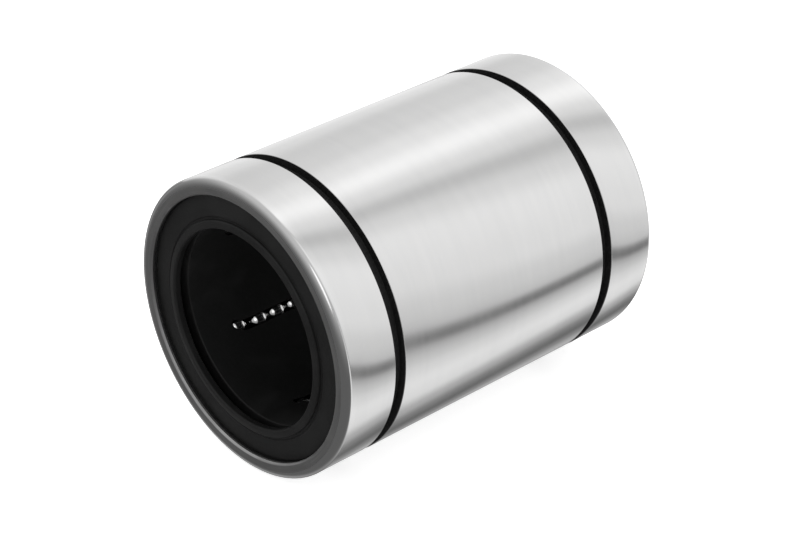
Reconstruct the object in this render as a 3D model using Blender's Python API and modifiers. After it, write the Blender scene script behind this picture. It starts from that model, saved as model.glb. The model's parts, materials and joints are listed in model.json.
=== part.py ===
"""Closed linear ball bearing for a 35 mm shaft.

A ground steel sleeve holds a resin ball cage. Six endless circuits of balls run in the cage: each has
a loaded row, which rolls between shaft and sleeve through a slot in the cage, and a return row further
out, joined at both ends by a half-round turn. A split side ring and a rubber lip seal close each end.
Sizes are in metres. The bearing lies on its side with its axis along world Y and its front end at -Y.
"""
from math import asin, cos, pi, radians, sin, sqrt

import bmesh
import bpy

# Sleeve
SHAFT_DIAMETER = 0.035
SLEEVE_WALL = 0.0045
SLEEVE_LENGTH = 0.070
EDGE_ROUND_ACROSS = 0.0016
EDGE_ROUND_ALONG = 0.0011
CLIP_GROOVE_DEPTH = 0.0015
CLIP_GROOVE_WIDTH = 0.0021
CLIP_GROOVE_SPAN = 0.0495
RING_SHOULDER = 0.00039
SEAT_CHAMFER = 0.00025
RELIEF_MARGIN = 0.0001
RACE_LEAD = 0.0002

# Balls and the circuits that they run in
CIRCUITS = 6
FIRST_CIRCUIT_ANGLE = radians(216)
RETURN_SIDE = -1
BALL_DIAMETER = 0.003969
BALL_NECK = 0.0006
ROW_WEB = 0.001831
RETURN_RISE = 0.0016
RACE_CLEARANCE = 0.000031
BALL_CLEARANCE = 0.0001
ROW_PHASE = 0.27

# Cage, side rings and seals
CAGE_SHAFT_CLEARANCE = 0.00015
CAGE_SLEEVE_CLEARANCE = 0.0001
CAGE_END_WALL = 0.00457
END_GAP = 0.0003
SIDE_RING_THICKNESS = 0.0008
SIDE_RING_DEPTH = 0.0032
SIDE_RING_OPENING = 0.009
SIDE_RING_CLEARANCE = 0.0001
SEAL_THICKNESS = 0.0009
SEAL_RECESS = 0.0012
SEAL_CLEARANCE = 0.00005
SEAL_LIP_BITE = 0.0002
SEAL_LIP_WIDTH = 0.0015
SEAL_LIP_RECESS = 0.00035
SEAL_GROOVE_WIDTH = 0.0005
SEAL_GROOVE_DEPTH = 0.0003

# Facets
EDGE_ROUND_STEPS = 2
ROUND_FACETS = 48
BALL_FACETS = 8
BALL_RING_ANGLE = radians(20)
TURN_STEPS = 8
SHARP_ANGLE = radians(32)
MERGE = 0.00001

# Radii that follow from the sizes above
ball_radius = BALL_DIAMETER / 2
row_radius = SHAFT_DIAMETER / 2 + ball_radius
return_radius = row_radius + RETURN_RISE
race_radius = row_radius + ball_radius + RACE_CLEARANCE
turn_radius = ball_radius + BALL_CLEARANCE + ROW_WEB / 2
channel_radius = (ball_radius + BALL_CLEARANCE) / cos(pi / BALL_FACETS)
relief_radius = return_radius + channel_radius + RELIEF_MARGIN
seat_radius = relief_radius - RING_SHOULDER
sleeve_radius = race_radius + SLEEVE_WALL
groove_radius = sleeve_radius - CLIP_GROOVE_DEPTH
cage_bore_radius = SHAFT_DIAMETER / 2 + CAGE_SHAFT_CLEARANCE
cage_outer_radius = race_radius - CAGE_SLEEVE_CLEARANCE
ring_outer_radius = relief_radius - SIDE_RING_CLEARANCE
ring_inner_radius = ring_outer_radius - SIDE_RING_DEPTH

# Places along the axis, from the middle of the bearing outwards
sleeve_end = SLEEVE_LENGTH / 2
seal_face = sleeve_end - SEAL_RECESS
seat_start = seal_face - SEAL_THICKNESS
ring_outer_face = seat_start - END_GAP
ring_inner_face = ring_outer_face - SIDE_RING_THICKNESS
cage_end = ring_inner_face - END_GAP
turn_centre = cage_end - CAGE_END_WALL - ball_radius - BALL_CLEARANCE - turn_radius
race_end = turn_centre - RACE_LEAD
row_travel = ball_radius
row_shift = ROW_PHASE * BALL_DIAMETER
balls_in_row = 1 + int(2 * (turn_centre - row_travel) / BALL_DIAMETER)

# The chord between a circuit's loaded and return rows, seen along the axis
row_spacing = 2 * turn_radius
return_x = (row_radius ** 2 + return_radius ** 2 - row_spacing ** 2) / (2 * row_radius)
return_y = RETURN_SIDE * sqrt(return_radius ** 2 - return_x ** 2)
chord_angle = asin(return_y / row_spacing)
if return_x < row_radius:
    chord_angle = pi - chord_angle
turn_pair_offset = sqrt(turn_radius ** 2 - ball_radius ** 2)


def new_collection(name):
    """A collection linked to the scene."""
    collection = bpy.data.collections.new(name)
    bpy.context.scene.collection.children.link(collection)
    return collection


def new_material(name, colour, metallic, roughness):
    """A Principled material in one colour."""
    material = bpy.data.materials.new(name)
    material.use_nodes = True
    shader = material.node_tree.nodes["Principled BSDF"]
    shader.inputs["Base Color"].default_value = (*colour, 1)
    shader.inputs["Metallic"].default_value = metallic
    shader.inputs["Roughness"].default_value = roughness
    material.diffuse_color = (*colour, 1)
    material.metallic = metallic
    material.roughness = roughness
    return material


def new_empty(name, parent, location=(0, 0, 0), rotation=(0, 0, 0)):
    """An axis that pieces hang from."""
    empty = bpy.data.objects.new(name, None)
    empty.empty_display_size = BALL_DIAMETER
    bearing.objects.link(empty)
    empty.parent = parent
    empty.location = location
    empty.rotation_euler = rotation
    return empty


def place(obj, parent, location=(0, 0, 0), rotation=(0, 0, 0)):
    """Hangs an object from an axis."""
    obj.parent = parent
    obj.location = location
    obj.rotation_euler = rotation


def as_cutter(obj, collection):
    """Marks an object that only cuts others, and moves it to a collection of cutters."""
    for holder in obj.users_collection:
        holder.objects.unlink(obj)
    collection.objects.link(obj)
    obj.hide_render = True
    obj.display_type = "WIRE"


def applied_mesh(obj):
    """The object's shape with its modifiers, shaded smooth between its sharp edges."""
    evaluated = obj.evaluated_get(bpy.context.evaluated_depsgraph_get())
    mesh = bpy.data.meshes.new_from_object(evaluated)
    mesh.name = obj.name
    mesh.shade_smooth()
    mesh.set_sharp_from_angle(angle=SHARP_ANGLE)
    return mesh


def apply_modifiers(obj):
    """Keeps the modifiers' result as the object's own mesh."""
    mesh = applied_mesh(obj)
    obj.modifiers.clear()
    obj.data = mesh


def turned(name, profile, facets, closed, collection, material=None):
    """A turned shape about local Z. The profile lists (radius, height), down its outer side first."""
    mesh = bpy.data.meshes.new(name)
    points = [(radius, 0, height) for radius, height in profile]
    edges = [(i, i + 1) for i in range(len(points) - 1)]
    if closed:
        edges.append((len(points) - 1, 0))
    mesh.from_pydata(points, edges, [])
    obj = bpy.data.objects.new(name, mesh)
    collection.objects.link(obj)
    screw = obj.modifiers.new("Turn", "SCREW")
    screw.axis = "Z"
    screw.angle = 2 * pi
    screw.steps = facets
    screw.render_steps = facets
    screw.use_merge_vertices = True
    screw.merge_threshold = MERGE
    apply_modifiers(obj)
    if material:
        obj.data.materials.append(material)
    return obj


def turned_ring(name, profile, material, flip=0):
    """A ring about the bearing's axis whose flats touch its true circles and lie level at the bottom.

    A flip of half a turn puts a ring that is drawn for the front end at the rear end.
    """
    flat_to_corner = 1 / cos(pi / ROUND_FACETS)
    corners = [(radius * flat_to_corner, height) for radius, height in profile]
    obj = turned(name, corners, ROUND_FACETS, True, bearing, material)
    place(obj, bearing_axis, rotation=(flip, 0, pi / ROUND_FACETS))
    return obj


def cut(obj, cutter_collection):
    """Cuts every object of a collection out of one."""
    bpy.context.view_layer.update()
    boolean = obj.modifiers.new("Cut", "BOOLEAN")
    boolean.operation = "DIFFERENCE"
    boolean.solver = "EXACT"
    boolean.operand_type = "COLLECTION"
    boolean.collection = cutter_collection
    apply_modifiers(obj)


def mirrored_profile(outer, inner):
    """A whole profile from the half above the middle, whose outer side runs down and inner side up."""
    lower_outer = [(radius, -height) for radius, height in reversed(outer)]
    lower_inner = [(radius, -height) for radius, height in reversed(inner)]
    return outer + lower_outer + lower_inner + inner


def sleeve_profile():
    """Rounded ends, two circlip grooves outside, and seal seats, reliefs and the raceway inside."""
    groove_top = CLIP_GROOVE_SPAN / 2
    groove_foot = groove_top - CLIP_GROOVE_WIDTH
    round_points = []
    for step in range(EDGE_ROUND_STEPS + 1):
        angle = step * pi / 2 / EDGE_ROUND_STEPS
        across = sleeve_radius - EDGE_ROUND_ACROSS * (1 - sin(angle))
        along = sleeve_end - EDGE_ROUND_ALONG * (1 - cos(angle))
        round_points.append((across, along))
    outer = round_points + [
        (sleeve_radius, groove_top),
        (groove_radius, groove_top),
        (groove_radius, groove_foot),
        (sleeve_radius, groove_foot),
    ]
    inner = [
        (race_radius, race_end),
        (relief_radius, race_end),
        (relief_radius, seat_start),
        (seat_radius, seat_start),
        (seat_radius, sleeve_end - SEAT_CHAMFER),
        (seat_radius + SEAT_CHAMFER, sleeve_end),
    ]
    return mirrored_profile(outer, inner)


def make_sleeve():
    """The steel sleeve, with a groove in the raceway for each return row."""
    sleeve = turned_ring("outer_sleeve", sleeve_profile(), steel)
    for circuit in circuits:
        bpy.ops.mesh.primitive_cylinder_add(
            vertices=BALL_FACETS, radius=channel_radius, depth=2 * turn_centre
        )
        groove = bpy.context.object
        groove.name = "return_groove"
        as_cutter(groove, sleeve_cutters)
        place(groove, circuit, location=(return_x, return_y, 0), rotation=(0, 0, pi / BALL_FACETS))
    cut(sleeve, sleeve_cutters)


def channel_mesh():
    """The space that one circuit's balls sweep: an endless tube round both rows and both turns.

    The corners of a turn reach a little past its circle, so that the straight stretches between them
    fall short of it by as much.
    """
    path = []
    corner_to_flat = cos(pi / (2 * TURN_STEPS))
    reach = turn_radius * 2 / (1 + corner_to_flat)
    for end in (1, -1):
        for step in range(TURN_STEPS + 1):
            angle = pi * step / TURN_STEPS
            radius = turn_radius if step in (0, TURN_STEPS) else reach
            path.append((-end * radius * cos(angle), 0, end * (turn_centre + radius * sin(angle))))
    curve = bpy.data.curves.new("ball_channel", "CURVE")
    curve.dimensions = "3D"
    curve.bevel_depth = channel_radius
    curve.bevel_resolution = BALL_FACETS // 2 - 2
    spline = curve.splines.new("POLY")
    spline.points.add(len(path) - 1)
    for point, position in zip(spline.points, path):
        point.co = (*position, 1)
    spline.use_cyclic_u = True
    tube = bpy.data.objects.new("ball_channel", curve)
    cage_cutters.objects.link(tube)
    bpy.context.view_layer.update()
    mesh = applied_mesh(tube)
    bpy.data.objects.remove(tube)
    shape = bmesh.new()
    shape.from_mesh(mesh)
    bmesh.ops.remove_doubles(shape, verts=shape.verts, dist=MERGE)
    bmesh.ops.recalc_face_normals(shape, faces=shape.faces)
    shape.to_mesh(mesh)
    shape.free()
    return mesh


def make_cage():
    """The resin cage: a tube with an endless channel for each circuit, open to the shaft along the load."""
    profile = mirrored_profile([(cage_outer_radius, cage_end)], [(cage_bore_radius, cage_end)])
    cage = turned_ring("ball_cage", profile, resin)
    mesh = channel_mesh()
    for loop in loops:
        channel = bpy.data.objects.new("ball_channel", mesh)
        as_cutter(channel, cage_cutters)
        place(channel, loop)
    cut(cage, cage_cutters)


def seal_profile():
    """A flat rubber disc with a groove round a raised, rounded lip that rubs on the shaft."""
    outer_radius = seat_radius - SEAL_CLEARANCE
    lip_radius = SHAFT_DIAMETER / 2 - SEAL_LIP_BITE
    lip_top = sleeve_end - SEAL_LIP_RECESS
    lip_outer = lip_radius + SEAL_LIP_WIDTH
    lip_round = SEAL_LIP_WIDTH / 4
    lip_shoulder = (lip_top + seal_face) / 2
    lip_foot = (seat_start + seal_face) / 2
    groove_outer = lip_outer + SEAL_GROOVE_WIDTH
    return [
        (outer_radius, seal_face),
        (outer_radius, seat_start),
        (lip_outer, seat_start),
        (lip_radius, lip_foot),
        (lip_radius, lip_shoulder),
        (lip_radius + lip_round, lip_top),
        (lip_outer - lip_round, lip_top),
        (lip_outer, lip_shoulder),
        (lip_outer, seal_face - SEAL_GROOVE_DEPTH),
        (groove_outer, seal_face - SEAL_GROOVE_DEPTH),
        (groove_outer, seal_face),
    ]


def make_seals():
    """A lip seal pressed into each end of the sleeve."""
    for name, flip in (("front_seal", 0), ("rear_seal", pi)):
        turned_ring(name, seal_profile(), rubber, flip)


def make_side_rings():
    """A split spring ring behind the seal seat at each end, which keeps the cage in the sleeve."""
    profile = [
        (ring_outer_radius, ring_outer_face),
        (ring_outer_radius, ring_inner_face),
        (ring_inner_radius, ring_inner_face),
        (ring_inner_radius, ring_outer_face),
    ]
    bpy.ops.mesh.primitive_cube_add(size=1)
    opening = bpy.context.object
    opening.name = "side_ring_opening"
    as_cutter(opening, ring_cutters)
    place(opening, bearing_axis, location=(0, ring_outer_radius, 0))
    opening.scale = (SIDE_RING_OPENING, 3 * SIDE_RING_DEPTH, SLEEVE_LENGTH)
    for name, flip in (("front_side_ring", 0), ("rear_side_ring", pi)):
        ring = turned_ring(name, profile, spring_steel, flip)
        cut(ring, ring_cutters)


def ball_run(name, count):
    """Touching balls in a straight run about local Z, held together by a thin neck where they meet."""
    profile = []
    ring_radius = ball_radius * cos(BALL_RING_ANGLE)
    ring_height = ball_radius * sin(BALL_RING_ANGLE)
    for ball in range(count):
        centre = ((count - 1) / 2 - ball) * BALL_DIAMETER
        top_radius = BALL_NECK if ball else 0
        profile.append((top_radius, centre + ball_radius))
        profile.append((ring_radius, centre + ring_height))
        profile.append((ring_radius, centre - ring_height))
    profile.append((0, profile[-1][1] + ring_height - ball_radius))
    return turned(name, profile, BALL_FACETS, False, bearing, ball_steel)


def make_balls():
    """Each circuit's loaded row, return row and the pair of balls in each turn.

    A turn's pair hangs from an empty at the middle of the turn, whose Y axis the pair swings about.
    The loaded rows stand a part of a ball towards the rear, and the rest of each loop as far round.
    """
    for number, (circuit, loop) in enumerate(zip(circuits, loops), 1):
        place(ball_run(f"load_row_{number}", balls_in_row), circuit, (row_radius, 0, -row_shift))
        place(ball_run(f"return_row_{number}", balls_in_row), circuit, (return_x, return_y, row_shift))
        for end, side in (("front", 1), ("rear", -1)):
            middle = (0, 0, side * turn_centre)
            swing = (0, -row_shift / turn_radius, 0)
            turn_axis = new_empty(f"{end}_turn_axis_{number}", loop, middle, swing)
            pair = ball_run(f"{end}_turn_balls_{number}", 2)
            place(pair, turn_axis, (0, 0, side * turn_pair_offset), (0, pi / 2, 0))


for old in list(bpy.data.objects):
    bpy.data.objects.remove(old)

bearing = new_collection("linear_ball_bearing")
cutters = new_collection("cutters")
sleeve_cutters = bpy.data.collections.new("sleeve_cutters")
cage_cutters = bpy.data.collections.new("cage_cutters")
ring_cutters = bpy.data.collections.new("ring_cutters")
for group in (sleeve_cutters, cage_cutters, ring_cutters):
    cutters.children.link(group)

steel = new_material("ground_steel", (0.62, 0.62, 0.63), 1, 0.3)
ball_steel = new_material("ball_steel", (0.75, 0.75, 0.76), 1, 0.08)
spring_steel = new_material("spring_steel", (0.25, 0.25, 0.27), 1, 0.4)
resin = new_material("black_resin", (0.012, 0.012, 0.013), 0, 0.45)
rubber = new_material("black_rubber", (0.02, 0.02, 0.02), 0, 0.7)

# Seen from the axis empty, the bearing stands upright with its front end on top.
bearing_axis = new_empty("bearing_axis", None, rotation=(pi / 2, 0, 0))
circuits = []
loops = []
for index in range(CIRCUITS):
    angle = FIRST_CIRCUIT_ANGLE + 2 * pi * index / CIRCUITS
    circuit = new_empty(f"circuit_{index + 1}", bearing_axis, rotation=(0, 0, angle))
    middle = ((row_radius + return_x) / 2, return_y / 2, 0)
    loops.append(new_empty(f"loop_{index + 1}", circuit, location=middle, rotation=(0, 0, chord_angle)))
    circuits.append(circuit)

make_sleeve()
make_cage()
make_seals()
make_side_rings()
make_balls()
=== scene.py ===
import json
from math import acos, atan2, cos, hypot, pi, radians, sin, tan

import bmesh
import bpy
from mathutils import Matrix, Vector


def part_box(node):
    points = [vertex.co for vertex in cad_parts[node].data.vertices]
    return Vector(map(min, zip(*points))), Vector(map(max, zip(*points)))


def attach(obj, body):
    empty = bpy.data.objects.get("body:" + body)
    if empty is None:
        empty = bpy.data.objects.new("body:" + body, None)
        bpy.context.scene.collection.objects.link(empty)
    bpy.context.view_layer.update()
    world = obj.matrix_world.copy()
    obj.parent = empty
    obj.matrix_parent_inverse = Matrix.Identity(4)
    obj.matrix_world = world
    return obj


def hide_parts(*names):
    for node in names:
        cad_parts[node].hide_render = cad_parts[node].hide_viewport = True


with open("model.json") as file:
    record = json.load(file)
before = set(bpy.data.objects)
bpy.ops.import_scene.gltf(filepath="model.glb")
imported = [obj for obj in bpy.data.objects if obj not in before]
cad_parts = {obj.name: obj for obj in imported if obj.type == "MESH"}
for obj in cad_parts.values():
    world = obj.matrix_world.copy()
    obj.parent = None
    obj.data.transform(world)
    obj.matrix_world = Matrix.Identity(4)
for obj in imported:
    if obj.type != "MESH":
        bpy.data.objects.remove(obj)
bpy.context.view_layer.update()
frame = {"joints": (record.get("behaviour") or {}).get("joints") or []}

# The bearing's axis is world Y and its front end is at -Y. All sizes are in metres.
BALLS_IN_ROW = 11
CIRCUITS = 6

# Sizes read from the frame
SLEEVE_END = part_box("outer_sleeve")[1][1]
SLEEVE_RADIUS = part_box("outer_sleeve")[1][2]
FLOOR_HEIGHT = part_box("outer_sleeve")[0][2]
BALL_DIAMETER = (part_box("load_row_1")[1][1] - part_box("load_row_1")[0][1]) / BALLS_IN_ROW
CAGE_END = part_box("ball_cage")[1][1]
SEAL_BACK = -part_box("front_seal")[1][1]
RING_FACE_INNER = -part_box("front_side_ring")[1][1]
RING_FACE_OUTER = -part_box("front_side_ring")[0][1]

# Sizes that the frame's boxes don't give, in the order of the pieces that use them
SHAFT_RADIUS = 0.0175
EDGE_ROUND_ACROSS = 0.0016
EDGE_ROUND_ALONG = 0.0011
END_FACE_DEPTH = 0.00002
GROOVE_OUTER_WALL = 0.02475
GROOVE_WIDTH = 0.0021
GROOVE_DEPTH = 0.0015
GROOVE_EDGE_ROUND = 0.00012
RACE_RADIUS = 0.0215
RACE_STEP = 0.0002
RELIEF_RADIUS = 0.02344
SEAT_RADIUS = 0.02305
SEAT_CHAMFER = 0.00032
SEAT_EDGE_ROUND = 0.0002
SEAT_TURNED_DEPTH = 0.0007
CAGE_BORE_RADIUS = 0.01765
CAGE_OUTER_RADIUS = 0.0214
CAGE_EDGE_ROUND = 0.0003
CHANNEL_CLEARANCE = 0.0001
SEAL_THICKNESS = 0.0009
SEAL_CLEARANCE = 0.00005
SEAL_RISE = 0.0003
SEAL_GROOVE_WIDTH = 0.0004
SEAL_GROOVE_DEPTH = 0.00015
# How far the lip reaches inside the shaft, its width and its top, then the shape of its inner side
LIP_BITE = 0.0002
LIP_WIDTH = 0.0015
LIP_TOP = SLEEVE_END - 0.0003
LIP_BAND = 0.0013
LIP_UNDERCUT = 0.0006
LIP_EDGE = 0.0004
RING_CLEARANCE = 0.0001
RING_DEPTH = 0.0032
RING_OPENING = 0.009
RING_EDGE_ROUND = 0.00015

# Faces round a full turn, and steps in a bend
SLEEVE_SEGMENTS = 288
SEAL_SEGMENTS = 224
CAGE_SEGMENTS = 192
RING_SEGMENTS = 160
CHANNEL_SIDES = 28
GROOVE_SIDES = 24
EDGE_STEPS = 12
TURN_STEPS = 24
LOAD_BALL_SEGMENTS = 40
TURN_BALL_SEGMENTS = 32
RETURN_BALL_SEGMENTS = 24

SHARP_EDGE_DEGREES = 32

ball_radius = BALL_DIAMETER / 2
channel_radius = ball_radius + CHANNEL_CLEARANCE


def node_centre(node):
    """The middle of a CAD node's box."""
    low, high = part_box(node)
    return (Vector(low) + Vector(high)) / 2


def hinge_of(joint_name):
    """A point on a hinge's axis, and its direction."""
    joint = next(joint for joint in frame["joints"] if joint["name"] == joint_name)
    return Vector(joint["pos_m"]), Vector(joint["axis"])


# Where the half-round turns start, before and behind the middle of the bearing
turn_centre = hinge_of("circuit_1_rear_turn_hinge")[0].y


# Meshes

def fillet(corners, steps=5):
    """A closed outline from corners (radius, along, fillet), each rounded by its own fillet."""
    outline = []
    count = len(corners)
    for index, (x, y, size) in enumerate(corners):
        here = Vector((x, y))
        before = Vector(corners[index - 1][:2]) - here
        after = Vector(corners[(index + 1) % count][:2]) - here
        if size == 0:
            outline.append((x, y))
            continue
        half = acos(max(-1, min(1, before.normalized().dot(after.normalized())))) / 2
        setback = size / tan(half)
        start = here + before.normalized() * setback
        end = here + after.normalized() * setback
        centre = here + (before.normalized() + after.normalized()).normalized() * (size / sin(half))
        first = atan2(start.y - centre.y, start.x - centre.x)
        sweep = atan2(end.y - centre.y, end.x - centre.x) - first
        sweep = (sweep + pi) % (2 * pi) - pi
        for step in range(steps + 1):
            angle = first + sweep * step / steps
            outline.append((centre.x + size * cos(angle), centre.y + size * sin(angle)))
    return outline


def finish_mesh(mesh, shape, sharp=SHARP_EDGE_DEGREES):
    """Writes a bmesh to a mesh with its faces pointing out, smooth between its sharp edges."""
    bmesh.ops.recalc_face_normals(shape, faces=shape.faces)
    shape.to_mesh(mesh)
    shape.free()
    mesh.shade_smooth()
    mesh.set_sharp_from_angle(angle=radians(sharp))


def new_object(name, mesh):
    """An object in the scene."""
    obj = bpy.data.objects.new(name, mesh)
    bpy.context.scene.collection.objects.link(obj)
    return obj


def turn(name, outline, segments, start=0.0, sweep=2 * pi):
    """A closed outline of (radius, along) swept about the Y axis, with end faces on a part turn."""
    shape = bmesh.new()
    full = sweep >= 2 * pi
    rings = []
    for index in range(segments if full else segments + 1):
        angle = start + sweep * index / segments
        rings.append([shape.verts.new((r * cos(angle), y, r * sin(angle))) for r, y in outline])
    pairs = zip(rings, rings[1:] + rings[:1]) if full else zip(rings, rings[1:])
    for one, two in pairs:
        for i in range(len(outline)):
            j = (i + 1) % len(outline)
            shape.faces.new((one[i], one[j], two[j], two[i]))
    if not full:
        shape.faces.new(rings[0])
        shape.faces.new(rings[-1])
    mesh = bpy.data.meshes.new(name)
    finish_mesh(mesh, shape)
    return new_object(name, mesh)


def cut(obj, cutters):
    """Cuts the cutters out of an object and removes them."""
    for cutter in cutters:
        boolean = obj.modifiers.new("cut", "BOOLEAN")
        boolean.operation = "DIFFERENCE"
        boolean.solver = "EXACT"
        boolean.object = cutter
    evaluated = obj.evaluated_get(bpy.context.evaluated_depsgraph_get())
    mesh = bpy.data.meshes.new_from_object(evaluated)
    obj.modifiers.clear()
    obj.data = mesh
    mesh.shade_smooth()
    mesh.set_sharp_from_angle(angle=radians(SHARP_EDGE_DEGREES))
    for cutter in cutters:
        bpy.data.objects.remove(cutter)


def balls(name, centres, segments):
    """Separate balls at the given centres."""
    shape = bmesh.new()
    for centre in centres:
        bmesh.ops.create_uvsphere(
            shape, u_segments=segments, v_segments=segments // 2, radius=ball_radius,
            matrix=Matrix.Translation(centre),
        )
    mesh = bpy.data.meshes.new(name)
    finish_mesh(mesh, shape, sharp=180)
    return new_object(name, mesh)


def tube_mesh(path, radius, sides):
    """A closed tube round an endless path that lies in one plane."""
    shape = bmesh.new()
    count = len(path)
    normal = (path[1] - path[0]).cross(path[count // 2] - path[0]).normalized()
    rings = []
    for index, point in enumerate(path):
        along = (path[(index + 1) % count] - path[index - 1]).normalized()
        across = along.cross(normal)
        ring = []
        for side in range(sides):
            angle = 2 * pi * side / sides
            ring.append(shape.verts.new(point + (across * cos(angle) + normal * sin(angle)) * radius))
        rings.append(ring)
    for one, two in zip(rings, rings[1:] + rings[:1]):
        for i in range(sides):
            j = (i + 1) % sides
            shape.faces.new((one[i], one[j], two[j], two[i]))
    return shape


# Shader nodes

class Nodes:
    """Adds nodes to a tree and joins them by name."""

    def __init__(self, tree):
        self.tree = tree

    def add(self, kind, settings=None, **inputs):
        """A node. An input is a number, a colour or another node's output."""
        node = self.tree.nodes.new(kind)
        for key, value in (settings or {}).items():
            setattr(node, key, value)
        for key, value in inputs.items():
            self.put(node.inputs[key.replace("_", " ")], value)
        return node

    def put(self, socket, value):
        """Sets a socket, or joins an output to it."""
        if isinstance(value, bpy.types.NodeSocket):
            self.tree.links.new(value, socket)
        else:
            socket.default_value = value

    def math(self, operation, *values, clamp=False):
        """The result of a Math node."""
        node = self.tree.nodes.new("ShaderNodeMath")
        node.operation = operation
        node.use_clamp = clamp
        for socket, value in zip(node.inputs, values):
            self.put(socket, value)
        return node.outputs[0]

    def mix(self, factor, low, high):
        """A value between two values."""
        node = self.tree.nodes.new("ShaderNodeMix")
        node.data_type = "FLOAT"
        self.put(node.inputs[0], factor)
        self.put(node.inputs[2], low)
        self.put(node.inputs[3], high)
        return node.outputs[0]

    def blend(self, factor, low, high):
        """A colour between two colours."""
        node = self.tree.nodes.new("ShaderNodeMix")
        node.data_type = "RGBA"
        self.put(node.inputs[0], factor)
        self.put(node.inputs[6], low)
        self.put(node.inputs[7], high)
        return node.outputs[2]

    def spread(self, value, low, high):
        """A value stretched so that low gives 0 and high gives 1, smoothly."""
        node = self.tree.nodes.new("ShaderNodeMapRange")
        node.interpolation_type = "SMOOTHSTEP"
        self.put(node.inputs["Value"], value)
        self.put(node.inputs["From Min"], low)
        self.put(node.inputs["From Max"], high)
        return node.outputs["Result"]


def new_group(name, inputs, outputs):
    """An empty shader node group with named sockets: (name, default) inputs and named outputs."""
    group = bpy.data.node_groups.new(name, "ShaderNodeTree")
    for label, default in inputs:
        socket = group.interface.new_socket(label, in_out="INPUT", socket_type="NodeSocketFloat")
        socket.default_value = default
    for label in outputs:
        group.interface.new_socket(label, in_out="OUTPUT", socket_type="NodeSocketFloat")
    nodes = Nodes(group)
    source = group.nodes.new("NodeGroupInput").outputs
    target = group.nodes.new("NodeGroupOutput").inputs
    return group, nodes, source, target


def axis_places(nodes):
    """Where a point lies: its radius, its place along the axis and its unit direction across it."""
    place = nodes.add("ShaderNodeTexCoord").outputs["Object"]
    parts = nodes.add("ShaderNodeSeparateXYZ", Vector=place)
    x, y, z = parts.outputs
    square = nodes.math("ADD", nodes.math("MULTIPLY", x, x), nodes.math("MULTIPLY", z, z))
    radius = nodes.math("SQRT", square)
    return radius, y, nodes.math("DIVIDE", x, radius), nodes.math("DIVIDE", z, radius)


def turning_marks():
    """Fine lines that run round the axis, spaced along it on the outside or by radius on a face."""
    group, nodes, source, target = new_group(
        "turning_marks",
        [("By Radius", 0), ("Lines", 3000), ("Waviness", 2), ("Contrast", 1)],
        ["Height", "Streak"],
    )
    radius, along, x, z = axis_places(nodes)
    across = nodes.mix(source["By Radius"], along, radius)
    vector = nodes.add("ShaderNodeCombineXYZ")
    nodes.put(vector.inputs[0], nodes.math("MULTIPLY", x, source["Waviness"]))
    nodes.put(vector.inputs[1], nodes.math("MULTIPLY", z, source["Waviness"]))
    nodes.put(vector.inputs[2], nodes.math("MULTIPLY", across, source["Lines"]))
    fine = nodes.add("ShaderNodeTexNoise", Vector=vector.outputs[0], Scale=1.0, Detail=4.0,
                     Roughness=0.65)
    broad_vector = nodes.add("ShaderNodeVectorMath", {"operation": "MULTIPLY"})
    nodes.put(broad_vector.inputs[0], vector.outputs[0])
    broad_vector.inputs[1].default_value = (0.7, 0.7, 0.09)
    broad = nodes.add("ShaderNodeTexNoise", Vector=broad_vector.outputs[0], Scale=1.0, Detail=3.0)
    streak = nodes.math("ADD", nodes.math("MULTIPLY", fine.outputs[0], 0.45),
                        nodes.math("MULTIPLY", broad.outputs[0], 0.55))
    spread = nodes.spread(streak, 0.35, 0.65)
    nodes.put(target["Streak"], nodes.mix(source["Contrast"], 0.5, spread))
    nodes.put(target["Height"], fine.outputs[0])
    return group


def smudges():
    """Soft patches, such as an oil film, handling marks or uneven scale."""
    group, nodes, source, target = new_group(
        "smudges", [("Scale", 60), ("Low", 0.45), ("High", 0.7), ("Seed", 0)], ["Mask"]
    )
    place = nodes.add("ShaderNodeTexCoord").outputs["Object"]
    shifted = nodes.add("ShaderNodeVectorMath", {"operation": "ADD"})
    nodes.put(shifted.inputs[0], place)
    nodes.put(shifted.inputs[1], source["Seed"])
    noise = nodes.add("ShaderNodeTexNoise", Vector=shifted.outputs[0], Detail=5.0, Roughness=0.55)
    nodes.put(noise.inputs["Scale"], source["Scale"])
    nodes.put(noise.inputs["Distortion"], 0.6)
    nodes.put(target["Mask"], nodes.spread(noise.outputs[0], source["Low"], source["High"]))
    return group


def speckle():
    """Fine grain, such as the moulded skin of rubber or resin, or the scale on heat-treated steel."""
    group, nodes, source, target = new_group(
        "speckle", [("Scale", 4000), ("Low", 0.3), ("High", 0.75)], ["Height", "Fleck"]
    )
    place = nodes.add("ShaderNodeTexCoord").outputs["Object"]
    noise = nodes.add("ShaderNodeTexNoise", Vector=place, Detail=3.0, Roughness=0.7)
    nodes.put(noise.inputs["Scale"], source["Scale"])
    nodes.put(target["Height"], noise.outputs[0])
    nodes.put(target["Fleck"], nodes.spread(noise.outputs[0], source["Low"], source["High"]))
    return group


def rim_band():
    """A soft band at one distance from the middle of the bearing along its axis, or at one radius."""
    group, nodes, source, target = new_group(
        "rim_band", [("By Radius", 0), ("Place", 0), ("Width", 0.001)], ["Mask"]
    )
    radius, along, _, _ = axis_places(nodes)
    value = nodes.mix(source["By Radius"], nodes.math("ABSOLUTE", along), radius)
    distance = nodes.math("ABSOLUTE", nodes.math("SUBTRACT", value, source["Place"]))
    share = nodes.math("DIVIDE", distance, source["Width"])
    nodes.put(target["Mask"], nodes.math("SUBTRACT", 1.0, nodes.spread(share, 0.0, 1.0)))
    return group


GROUPS = {"marks": turning_marks(), "smudges": smudges(), "speckle": speckle(), "rim": rim_band()}


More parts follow.
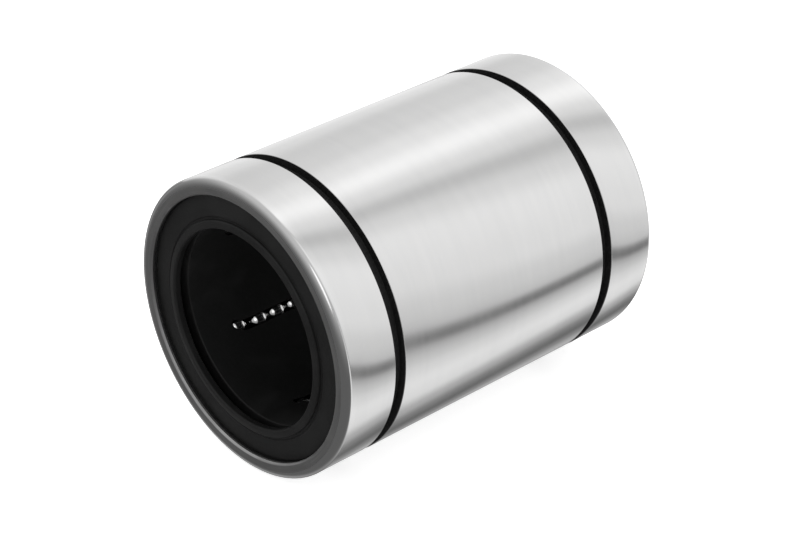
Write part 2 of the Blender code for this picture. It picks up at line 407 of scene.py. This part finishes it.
class Finish:
    """A material with a Principled shader and the shared effects placed in it with its own values."""

    def __init__(self, name, metallic=0.0, **shader_values):
        self.material = bpy.data.materials.new(name)
        self.material.use_nodes = True
        self.nodes = Nodes(self.material.node_tree)
        self.shader = self.material.node_tree.nodes["Principled BSDF"]
        self.shader.inputs["Metallic"].default_value = metallic
        for key, value in shader_values.items():
            self.shader.inputs[key.replace("_", " ")].default_value = value

    def effect(self, name, **values):
        """One shared effect, with its outputs."""
        node = self.material.node_tree.nodes.new("ShaderNodeGroup")
        node.node_tree = GROUPS[name]
        for key, value in values.items():
            self.nodes.put(node.inputs[key.replace("_", " ")], value)
        return node.outputs

    def colour(self, value):
        self.nodes.put(self.shader.inputs["Base Color"], value)

    def roughness(self, value):
        self.nodes.put(self.shader.inputs["Roughness"], value)

    def bump(self, height, distance, strength=1.0):
        node = self.nodes.add("ShaderNodeBump", Height=height)
        node.inputs["Distance"].default_value = distance
        node.inputs["Strength"].default_value = strength
        self.nodes.put(self.shader.inputs["Normal"], node.outputs[0])


def grey(value, tint=0.0):
    """A grey, a little warm for a positive tint and a little cool for a negative one."""
    return (value * (1 + tint), value, value * (1 - tint), 1)


def ground_steel():
    """The ground outside and edge rounds of the sleeve: bright, with fine lines, a film of oil and a
    painted highlight that lightens the edge round.
    """
    finish = Finish("ground_steel", metallic=1.0)
    marks = finish.effect("marks", Lines=5200, Waviness=1.6, Contrast=0.5)
    film = finish.effect("smudges", Scale=55, Low=0.42, High=0.72)
    rim = finish.effect("rim", Place=SLEEVE_END - EDGE_ROUND_ALONG, Width=0.0012)
    nodes = finish.nodes
    tone = nodes.blend(marks["Streak"], grey(0.68), grey(0.72, 0.004))
    tone = nodes.blend(nodes.math("MULTIPLY", film["Mask"], 0.15), tone, grey(0.64, 0.01))
    # Painted highlight: the colour is lightened in a band along the edge round.
    tone = nodes.blend(nodes.math("MULTIPLY", rim["Mask"], 0.3), tone, grey(0.78))
    finish.colour(tone)
    rough = nodes.mix(marks["Streak"], 0.11, 0.145)
    finish.roughness(nodes.math("ADD", rough, nodes.math("MULTIPLY", film["Mask"], 0.03)))
    finish.bump(marks["Height"], 0.0000006, 0.5)
    return finish.material


def turned_steel():
    """The sleeve's end faces and the mouths of its seal seats: left grey, with turning rings."""
    finish = Finish("turned_steel", metallic=1.0)
    marks = finish.effect("marks", By_Radius=1, Lines=7000, Waviness=2.5, Contrast=1)
    scale = finish.effect("smudges", Scale=240, Low=0.4, High=0.68, Seed=3)
    nodes = finish.nodes
    tone = nodes.blend(marks["Streak"], grey(0.42), grey(0.54))
    tone = nodes.blend(nodes.math("MULTIPLY", scale["Mask"], 0.4), tone, grey(0.34, 0.02))
    finish.colour(tone)
    finish.roughness(nodes.mix(scale["Mask"], 0.36, 0.5))
    finish.bump(marks["Height"], 0.000004, 0.6)
    return finish.material


def groove_scale_and_seat_shade():
    """The unground circlip grooves, black from heat treatment, and the seal seats' walls behind their
    turned mouths, painted black as the shade in the recess by the seal.
    """
    finish = Finish("groove_scale_and_seat_shade", metallic=0.4)
    grain = finish.effect("speckle", Scale=2600)
    rub = finish.effect("smudges", Scale=160, Low=0.55, High=0.8, Seed=7)
    nodes = finish.nodes
    tone = nodes.blend(grain["Fleck"], grey(0.008), grey(0.022))
    finish.colour(nodes.blend(nodes.math("MULTIPLY", rub["Mask"], 0.3), tone, grey(0.05)))
    finish.roughness(nodes.mix(grain["Fleck"], 0.5, 0.7))
    finish.bump(grain["Height"], 0.00001, 0.5)
    return finish.material


def raceway_steel():
    """The honed inside of the sleeve."""
    finish = Finish("raceway_steel", metallic=1.0)
    marks = finish.effect("marks", Lines=6000, Waviness=4)
    finish.colour(finish.nodes.blend(marks["Streak"], grey(0.4), grey(0.52)))
    finish.roughness(finish.nodes.mix(marks["Streak"], 0.18, 0.28))
    finish.bump(marks["Height"], 0.000001)
    return finish.material


def ball_steel():
    """Lapped balls."""
    finish = Finish("ball_steel", metallic=1.0)
    film = finish.effect("smudges", Scale=500, Low=0.45, High=0.75, Seed=1)
    finish.colour(finish.nodes.blend(film["Mask"], grey(0.8), grey(0.7, 0.01)))
    finish.roughness(finish.nodes.mix(film["Mask"], 0.06, 0.13))
    return finish.material


def spring_steel():
    """The side rings: oil-blackened spring steel."""
    finish = Finish("spring_steel", metallic=1.0)
    grain = finish.effect("speckle", Scale=3000)
    wear = finish.effect("smudges", Scale=300, Low=0.5, High=0.75, Seed=5)
    tone = finish.nodes.blend(grain["Fleck"], grey(0.06), grey(0.1, 0.02))
    finish.colour(finish.nodes.blend(wear["Mask"], tone, grey(0.2)))
    finish.roughness(finish.nodes.mix(wear["Mask"], 0.45, 0.3))
    finish.bump(grain["Height"], 0.000006, 0.5)
    return finish.material


def cage_resin():
    """The moulded black resin of the cage."""
    finish = Finish("cage_resin", Specular_IOR_Level=0.25)
    grain = finish.effect("speckle", Scale=2400)
    film = finish.effect("smudges", Scale=130, Low=0.45, High=0.75, Seed=2)
    tone = finish.nodes.blend(grain["Fleck"], grey(0.008), grey(0.012))
    finish.colour(finish.nodes.blend(film["Mask"], tone, grey(0.015)))
    finish.roughness(finish.nodes.mix(film["Mask"], 0.5, 0.62))
    finish.bump(grain["Height"], 0.00001, 0.35)
    return finish.material


def seal_rubber():
    """The black rubber of the seals, with a bloom of dust on its flat and a shinier lip."""
    finish = Finish("seal_rubber", Specular_IOR_Level=0.3)
    grain = finish.effect("speckle", Scale=3200)
    marks = finish.effect("marks", By_Radius=1, Lines=2600, Waviness=1.5, Contrast=1)
    bloom = finish.effect("smudges", Scale=90, Low=0.4, High=0.72, Seed=4)
    lip = finish.effect("rim", By_Radius=1, Place=SHAFT_RADIUS + LIP_WIDTH / 2, Width=0.0012)
    nodes = finish.nodes
    tone = nodes.blend(grain["Fleck"], grey(0.005), grey(0.009))
    tone = nodes.blend(nodes.math("MULTIPLY", marks["Streak"], 0.4), tone, grey(0.011))
    tone = nodes.blend(nodes.math("MULTIPLY", bloom["Mask"], 0.5), tone, grey(0.016))
    finish.colour(tone)
    finish.roughness(nodes.mix(lip["Mask"], nodes.mix(bloom["Mask"], 0.5, 0.62), 0.42))
    finish.bump(grain["Height"], 0.000012, 0.4)
    return finish.material


# Pieces

def edge_round(side):
    """The rounded outer edge of one end, from the end face to the outside. Side is -1 at the front."""
    points = []
    for step in range(EDGE_STEPS + 1):
        angle = pi / 2 * step / EDGE_STEPS
        radius = SLEEVE_RADIUS - EDGE_ROUND_ACROSS * (1 - sin(angle))
        along = SLEEVE_END - EDGE_ROUND_ALONG * (1 - cos(angle))
        points.append((radius, side * along, 0))
    return points


def sleeve_outline():
    """The sleeve's section: rounded ends, circlip grooves, raceway, reliefs and seal seats."""
    floor = SLEEVE_RADIUS - GROOVE_DEPTH
    inner_wall = GROOVE_OUTER_WALL - GROOVE_WIDTH
    race_end = turn_centre - RACE_STEP
    half_outer = [
        (SLEEVE_RADIUS, -GROOVE_OUTER_WALL, GROOVE_EDGE_ROUND),
        (floor, -GROOVE_OUTER_WALL, GROOVE_EDGE_ROUND),
        (floor, -inner_wall, GROOVE_EDGE_ROUND),
        (SLEEVE_RADIUS, -inner_wall, GROOVE_EDGE_ROUND),
    ]
    half_inner = [
        (RACE_RADIUS, -race_end, 0),
        (RELIEF_RADIUS, -race_end, 0),
        (RELIEF_RADIUS, -SEAL_BACK, 0),
        (SEAT_RADIUS, -SEAL_BACK, 0),
        (SEAT_RADIUS, SEAT_TURNED_DEPTH - SLEEVE_END, 0),
        (SEAT_RADIUS, SEAT_CHAMFER - SLEEVE_END, SEAT_EDGE_ROUND),
        (SEAT_RADIUS + SEAT_CHAMFER, -SLEEVE_END, SEAT_EDGE_ROUND),
    ]
    outer = edge_round(-1) + half_outer
    mirrored_outer = [(r, -y, f) for r, y, f in reversed(outer)]
    mirrored_inner = [(r, -y, f) for r, y, f in reversed(half_inner)]
    return fillet(outer + mirrored_outer + mirrored_inner + half_inner)


# The sleeve's finishes, and how far the middle of a face may lie past the edge of one
GROUND, TURNED, SCALE_AND_SEAT_SHADE, HONED = range(4)
INSIDE_MARGIN = 0.0003
GROOVE_MARGIN = 0.00001


def sleeve_finish(face):
    """Which of the sleeve's four finishes a face has."""
    radius = hypot(face.center.x, face.center.z)
    along = abs(face.center.y)
    if radius < RELIEF_RADIUS + INSIDE_MARGIN:
        if along <= SEAL_BACK:
            return HONED
        # Painted shade: the seat wall deeper than its turned mouth is black, standing for the shade in
        # the recess by the seal.
        return SCALE_AND_SEAT_SHADE if along < SLEEVE_END - SEAT_TURNED_DEPTH else TURNED
    from_groove = abs(along - GROOVE_OUTER_WALL + GROOVE_WIDTH / 2)
    if from_groove < GROOVE_WIDTH / 2 + GROOVE_MARGIN:
        return SCALE_AND_SEAT_SHADE if radius < SLEEVE_RADIUS - GROOVE_EDGE_ROUND else GROUND
    return TURNED if along > SLEEVE_END - END_FACE_DEPTH else GROUND


def make_sleeve():
    """The outer sleeve, with return grooves along its raceway and a finish on each surface."""
    sleeve = turn("sleeve", sleeve_outline(), segments=SLEEVE_SEGMENTS)
    grooves = []
    for number in range(1, CIRCUITS + 1):
        centre = node_centre(f"return_row_{number}")
        shape = bmesh.new()
        bmesh.ops.create_cone(
            shape, cap_ends=True, segments=GROOVE_SIDES, radius1=channel_radius,
            radius2=channel_radius, depth=2 * turn_centre,
            matrix=Matrix.Translation((centre.x, 0, centre.z)) @ Matrix.Rotation(pi / 2, 4, "X"),
        )
        mesh = bpy.data.meshes.new("return_groove")
        finish_mesh(mesh, shape)
        grooves.append(new_object("return_groove", mesh))
    cut(sleeve, grooves)
    mesh = sleeve.data
    mesh.materials.clear()
    for material in (ground_steel(), turned_steel(), groove_scale_and_seat_shade(), raceway_steel()):
        mesh.materials.append(material)
    for face in mesh.polygons:
        face.material_index = sleeve_finish(face)
    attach(sleeve, "sleeve_assembly")
    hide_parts("outer_sleeve")


def make_cage():
    """The ball cage: a tube with an endless channel for each circuit."""
    outline = fillet([
        (CAGE_OUTER_RADIUS, -CAGE_END, CAGE_EDGE_ROUND),
        (CAGE_OUTER_RADIUS, CAGE_END, CAGE_EDGE_ROUND),
        (CAGE_BORE_RADIUS, CAGE_END, CAGE_EDGE_ROUND),
        (CAGE_BORE_RADIUS, -CAGE_END, CAGE_EDGE_ROUND),
    ])
    cage = turn("cage", outline, segments=CAGE_SEGMENTS)
    channels = []
    for number in range(1, CIRCUITS + 1):
        load = node_centre(f"load_row_{number}")
        back = node_centre(f"return_row_{number}")
        middle = (load + back) / 2
        chord = (back - load) / 2
        chord.y = 0
        path = []
        for side in (1, -1):
            for step in range(TURN_STEPS + 1):
                angle = pi * step / TURN_STEPS
                out = Vector((0, side * (turn_centre + chord.length * sin(angle)), 0))
                path.append(middle - side * chord * cos(angle) + out)
        shape = tube_mesh(path, channel_radius, CHANNEL_SIDES)
        mesh = bpy.data.meshes.new("ball_channel")
        finish_mesh(mesh, shape)
        channels.append(new_object("ball_channel", mesh))
    cut(cage, channels)
    cage.data.materials.clear()
    cage.data.materials.append(cage_resin())
    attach(cage, "sleeve_assembly")
    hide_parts("ball_cage")


def make_seals():
    """A rubber seal in each end: a coned disc, a groove and a rounded lip that rubs on the shaft."""
    rubber = seal_rubber()
    face = SEAL_BACK + SEAL_THICKNESS
    outer = SEAT_RADIUS - SEAL_CLEARANCE
    foot = face + SEAL_RISE
    lip_inner = SHAFT_RADIUS - LIP_BITE
    lip_outer = lip_inner + LIP_WIDTH
    groove_outer = lip_outer + SEAL_GROOVE_WIDTH
    groove_floor = foot - SEAL_GROOVE_DEPTH
    for name, side in (("front_seal", -1), ("rear_seal", 1)):
        corners = [
            (outer, face, 0.00012),
            (outer, SEAL_BACK, 0.0001),
            (lip_outer, SEAL_BACK, 0.0001),
            (lip_inner + LIP_UNDERCUT, SEAL_BACK, 0.0001),
            (lip_inner, LIP_TOP - LIP_BAND, 0.0001),
            (lip_inner, LIP_TOP - LIP_EDGE, 0.0002),
            (lip_inner + LIP_EDGE / 2, LIP_TOP, 0.0002),
            (lip_outer, LIP_TOP - LIP_EDGE / 2, 0.0004),
            (lip_outer, groove_floor, 0.00012),
            (groove_outer, groove_floor, 0.00012),
            (groove_outer + 0.0001, foot, 0.00012),
        ]
        outline = fillet([(radius, side * along, size) for radius, along, size in corners])
        seal = turn(f"{name}_rubber", outline, segments=SEAL_SEGMENTS)
        seal.data.materials.append(rubber)
        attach(seal, "sleeve_assembly")
        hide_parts(name)


def make_side_rings():
    """A split spring ring behind each seal, open at the top."""
    steel = spring_steel()
    outer = RELIEF_RADIUS - RING_CLEARANCE
    inner = outer - RING_DEPTH
    half_opening = RING_OPENING / 2 / outer
    start = pi / 2 + half_opening
    sweep = 2 * pi - 2 * half_opening
    for name, side in (("front_side_ring", -1), ("rear_side_ring", 1)):
        outline = fillet([
            (outer, side * RING_FACE_OUTER, RING_EDGE_ROUND),
            (outer, side * RING_FACE_INNER, RING_EDGE_ROUND),
            (inner, side * RING_FACE_INNER, RING_EDGE_ROUND),
            (inner, side * RING_FACE_OUTER, RING_EDGE_ROUND),
        ])
        ring = turn(f"{name}_steel", outline, RING_SEGMENTS, start, sweep)
        ring.data.materials.append(steel)
        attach(ring, "sleeve_assembly")
        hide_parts(name)


def make_balls():
    """The balls of each circuit, in its loaded row, its return row and its two turns."""
    steel = ball_steel()

    def add(node, body, centres, segments):
        piece = balls(f"{node}_lapped", centres, segments)
        piece.data.materials.append(steel)
        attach(piece, body)
        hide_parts(node)

    for number in range(1, CIRCUITS + 1):
        load = node_centre(f"load_row_{number}")
        back = node_centre(f"return_row_{number}")
        rows = (("load_row", load, LOAD_BALL_SEGMENTS), ("return_row", back, RETURN_BALL_SEGMENTS))
        for kind, centre, segments in rows:
            centres = []
            for ball in range(BALLS_IN_ROW):
                along = (ball - (BALLS_IN_ROW - 1) / 2) * BALL_DIAMETER
                centres.append(centre + Vector((0, along, 0)))
            add(f"{kind}_{number}", f"circuit_{number}_{kind}", centres, segments)
        for end in ("front", "rear"):
            middle = node_centre(f"{end}_turn_balls_{number}")
            hinge, axis = hinge_of(f"circuit_{number}_{end}_turn_hinge")
            along = (middle - hinge).cross(axis).normalized()
            centres = [middle - along * ball_radius, middle + along * ball_radius]
            name = f"{end}_turn_balls_{number}"
            add(name, f"circuit_{number}_{end}_turn", centres, TURN_BALL_SEGMENTS)


# Studio

FLOOR_HALF_WIDTH = 3
FLOOR_GLOW = 0.68


def make_floor():
    """A plain pale floor under the bearing. The light tent, and not the floor, shows in the steel."""
    shape = bmesh.new()
    bmesh.ops.create_grid(shape, x_segments=1, y_segments=1, size=FLOOR_HALF_WIDTH)
    bmesh.ops.translate(shape, verts=shape.verts, vec=(0, 0, FLOOR_HEIGHT))
    mesh = bpy.data.meshes.new("floor")
    finish_mesh(mesh, shape)
    floor = new_object("floor", mesh)
    finish = Finish("floor_paper", Roughness=0.9, Specular_IOR_Level=0.1)
    finish.colour(grey(0.9))
    finish.shader.inputs["Emission Color"].default_value = (1, 1, 1, 1)
    finish.shader.inputs["Emission Strength"].default_value = FLOOR_GLOW
    mesh.materials.append(finish.material)
    floor.visible_glossy = False


# The tent's brightness round the bearing's axis, by angle in degrees from +X through straight up
TENT_BANDS = [
    (-180, 0.92), (-160, 0.98), (-148, 0.78), (-138, 0.62), (-128, 0.54), (-120, 0.45), (-111, 0.29),
    (-102, 0.165), (-93, 0.26), (-83, 0.54), (-72, 0.97), (-62, 1.04), (-53, 0.92), (-46, 0.74),
    (-40, 0.57), (-35.5, 0.19), (-31, 0.27), (-26, 0.75), (-12, 0.84), (6, 1.0), (44, 1.08),
    (60, 0.92), (74, 0.69), (86, 0.98), (103, 1.3), (120, 1.07), (140, 0.89), (164, 0.82), (180, 0.92),
]


# How the bands lean, and the level of the tent past its rear, before its front and as a backdrop
SLANT_PIVOT = 0.61
SLANT = 2.0
REAR_LEVEL = 0.8
FRONT_LOW_LEVEL = 0.14
FRONT_HIGH_LEVEL = 0.68
BACKDROP_LEVEL = 0.97


def make_tent():
    """World light like a photographer's tent: soft bright and darker bands along the bearing."""
    world = bpy.data.worlds.new("light_tent")
    bpy.context.scene.world = world
    world.use_nodes = True
    nodes = Nodes(world.node_tree)
    background = world.node_tree.nodes["Background"]
    background.inputs["Color"].default_value = (1, 1, 1, 1)
    direction = nodes.add("ShaderNodeTexCoord").outputs["Generated"]
    x, y, z = nodes.add("ShaderNodeSeparateXYZ", Vector=direction).outputs
    lean = nodes.math("SUBTRACT", y, SLANT_PIVOT)
    lean = nodes.math("MULTIPLY", lean, nodes.math("MULTIPLY", x, SLANT))
    angle = nodes.math("ADD", nodes.math("ARCTAN2", z, x), lean)
    place = nodes.math("MULTIPLY_ADD", angle, 1 / (2 * pi), 0.5)
    ramp = nodes.add("ShaderNodeValToRGB", Fac=place)
    ramp.color_ramp.interpolation = "EASE"
    stops = ramp.color_ramp.elements
    brightest = max(level for _, level in TENT_BANDS)
    for degrees, level in TENT_BANDS[1:-1]:
        stops.new((degrees + 180) / 360).color = grey(level / brightest)
    for stop, (_, level) in zip((stops[0], stops[-1]), (TENT_BANDS[0], TENT_BANDS[-1])):
        stop.color = grey(level / brightest)
    level = nodes.math("MULTIPLY", ramp.outputs[0], brightest)
    level = nodes.mix(nodes.spread(y, 0.74, 0.96), level, REAR_LEVEL)
    front = nodes.mix(nodes.spread(z, -0.45, 0.75), FRONT_LOW_LEVEL, FRONT_HIGH_LEVEL)
    level = nodes.mix(nodes.spread(y, 0.2, -0.35), level, front)
    seen = nodes.add("ShaderNodeLightPath").outputs["Is Camera Ray"]
    nodes.put(background.inputs["Strength"], nodes.mix(seen, level, BACKDROP_LEVEL))


def make_lights():
    """One large soft lamp over the bearing's left shoulder and a small one by the camera.

    Each lamp is (name, place, size, power, whether it is mirrored in the steel).
    """
    lamps = [
        ("key_softbox", (-0.35, 0.1, 0.75), 0.8, 4.0, False),
        ("front_softbox", (0.34, -0.42, 0.3), 0.3, 0.17, True),
    ]
    for name, place, size, power, mirrored in lamps:
        lamp = bpy.data.lights.new(name, "AREA")
        lamp.shape = "DISK"
        lamp.size = size
        lamp.energy = power
        obj = new_object(name, lamp)
        obj.location = place
        obj.rotation_euler = (-Vector(place)).to_track_quat("-Z", "Y").to_euler()
        obj.visible_camera = False
        obj.visible_glossy = mirrored


def make_camera():
    """The photograph's view: azimuth 47.2 and elevation 29.7 degrees, no roll, about 0.4 m away."""
    azimuth = radians(47.17)
    elevation = radians(29.73)
    distance = 0.4054
    back = Vector((sin(azimuth) * cos(elevation), -cos(azimuth) * cos(elevation), sin(elevation)))
    data = bpy.data.cameras.new("camera")
    data.sensor_width = 36
    data.lens = 107.63
    data.shift_x = 0.0012
    data.shift_y = -0.0199
    data.clip_start = 0.01
    camera = new_object("camera", data)
    camera.location = back * distance
    camera.rotation_euler = back.to_track_quat("Z", "Y").to_euler()
    bpy.context.scene.camera = camera


make_camera()
make_sleeve()
make_cage()
make_seals()
make_side_rings()
make_balls()
make_floor()
make_tent()
make_lights()
bpy.context.scene.view_settings.view_transform = "Standard"
